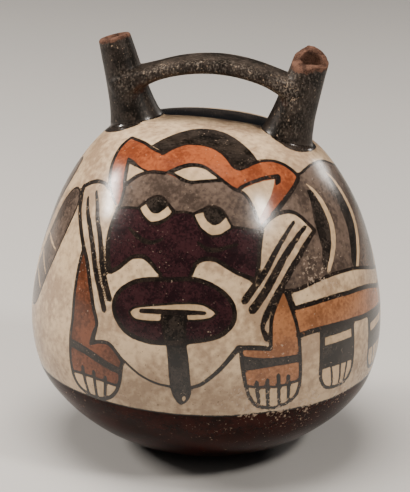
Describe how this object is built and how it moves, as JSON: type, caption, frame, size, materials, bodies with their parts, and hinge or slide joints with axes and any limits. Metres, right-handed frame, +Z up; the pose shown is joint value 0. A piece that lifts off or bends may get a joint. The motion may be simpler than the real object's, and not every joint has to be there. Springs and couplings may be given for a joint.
{
  "type": "double-spout pottery bottle",
  "caption": "Round-bodied painted pottery bottle with a flat strap bridge between two leaning spouts, the right one broken at its tip; hollow, resting on its underside.",
  "frame": {"origin": "middle of the small flat that the bottle rests on", "axes": "+Z up along the body's axis, +X from the whole left spout towards the broken right one, -Y towards the viewer of the painted face"},
  "size_m": [0.1498, 0.1498, 0.1763],
  "materials": {
    "painted_clay": "burnished slip, cream ground with black, red-brown and orange areas, softly shining"
  },
  "bodies": {
    "root": {"lower_body": "painted_clay", "upper_body": "painted_clay"}
  },
  "joints": []
}
